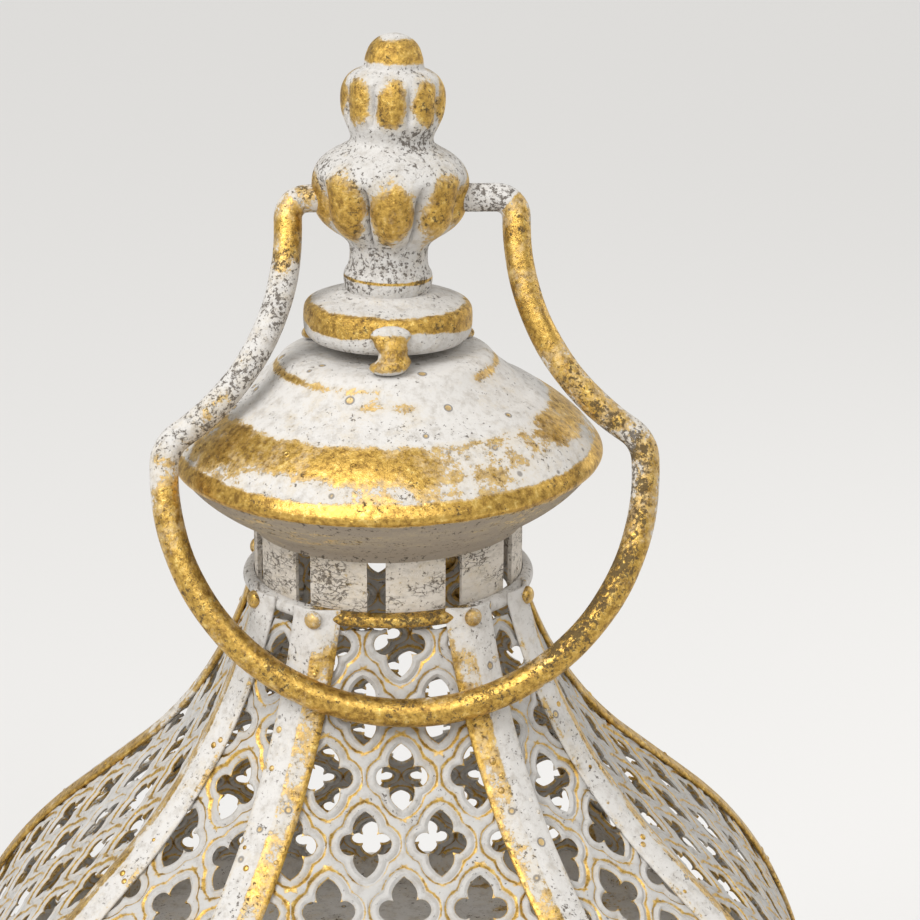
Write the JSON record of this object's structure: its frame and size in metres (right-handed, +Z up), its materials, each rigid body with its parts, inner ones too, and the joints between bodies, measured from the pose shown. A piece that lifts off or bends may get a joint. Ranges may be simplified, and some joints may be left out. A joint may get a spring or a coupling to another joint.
{
  "type": "candle lantern",
  "caption": "Eight-sided hanging or standing candle lantern with pierced sheet sides, an onion roof, a spun crown, a cast finial and a swinging bail; the front door opens.",
  "frame": {"origin": "on the ground at the middle of the foot circle", "axes": "+Z up, the door faces -Y, the bail turns about an axis along X"},
  "size_m": [0.2126, 0.2126, 0.424],
  "materials": {
    "roof_sheet": "distressed chalk wash over gold leaf, embossed and pierced",
    "roof_ribs": "distressed chalk wash over gold leaf with brushed bright edges",
    "body_sheet": "distressed chalk wash over gold leaf, embossed and pierced",
    "corner_posts": "distressed chalk wash over gold leaf",
    "feet": "distressed chalk wash over gold leaf",
    "bands": "distressed chalk wash over gold leaf",
    "crown": "chalk wash with a brushed gold band",
    "neck": "chalk wash with fine dark crackle",
    "collar": "worn gold paint",
    "castings": "cast, chalk wash with gold on the high faces",
    "bail": "worn gold paint with chalk wash remains",
    "door": "distressed chalk wash over gold leaf",
    "knob": "polished by handling",
    "hardware": "plain, dulled",
    "pan": "worn, soot darkened"
  },
  "bodies": {
    "lantern": {"base_plinth": "bands", "body_knuckle_lower": "hardware", "body_knuckle_upper": "hardware", "body_panel_back": "body_sheet", "body_panel_back_left": "body_sheet", "body_panel_back_right": "body_sheet", "body_panel_front_left": "body_sheet", "body_panel_front_right": "body_sheet", "body_panel_left": "body_sheet", "body_panel_right": "body_sheet", "candle_pan": "pan", "collar_ring": "collar", "crown_top": "crown", "crown_under": "crown", "eave_band": "bands", "finial": "castings", "finial_nut": "hardware", "finial_stud": "hardware", "foot_back_left": "feet", "foot_back_right": "feet", "foot_disc": "castings", "foot_front_left": "feet", "foot_front_right": "feet", "hinge_pin_lower": "hardware", "hinge_pin_upper": "hardware", "lug_back_left": "castings", "lug_back_right": "castings", "lug_front": "castings", "neck_sleeve": "neck", "post_back_left": "corner_posts", "post_back_right": "corner_posts", "post_front_left": "corner_posts", "post_front_right": "corner_posts", "post_left_back": "corner_posts", "post_left_front": "corner_posts", "post_right_back": "corner_posts", "post_right_front": "corner_posts", "roof_panel_back": "roof_sheet", "roof_panel_back_left": "roof_sheet", "roof_panel_back_right": "roof_sheet", "roof_panel_front": "roof_sheet", "roof_panel_front_left": "roof_sheet", "roof_panel_front_right": "roof_sheet", "roof_panel_left": "roof_sheet", "roof_panel_right": "roof_sheet", "roof_rib_back_left": "roof_ribs", "roof_rib_back_right": "roof_ribs", "roof_rib_front_left": "roof_ribs", "roof_rib_front_right": "roof_ribs", "roof_rib_left_back": "roof_ribs", "roof_rib_left_front": "roof_ribs", "roof_rib_right_back": "roof_ribs", "roof_rib_right_front": "roof_ribs"},
    "door": {"door_frame": "door", "door_panel": "body_sheet", "door_knob": "knob", "door_knuckle_lower": "hardware", "door_knuckle_upper": "hardware"},
    "bail": {"bail_handle": "bail"}
  },
  "joints": [
    {"name": "bail_swing", "type": "hinge", "parent": "lantern", "child": "bail", "pos_m": [0, 0, 0.3905], "axis": [-1, 0, 0], "range_deg": [0, 317]},
    {"name": "door_swing", "type": "hinge", "parent": "lantern", "child": "door", "pos_m": [-0.04255, -0.09402, 0.103], "axis": [0, 0, -1], "range_deg": [0, 110]}
  ]
}
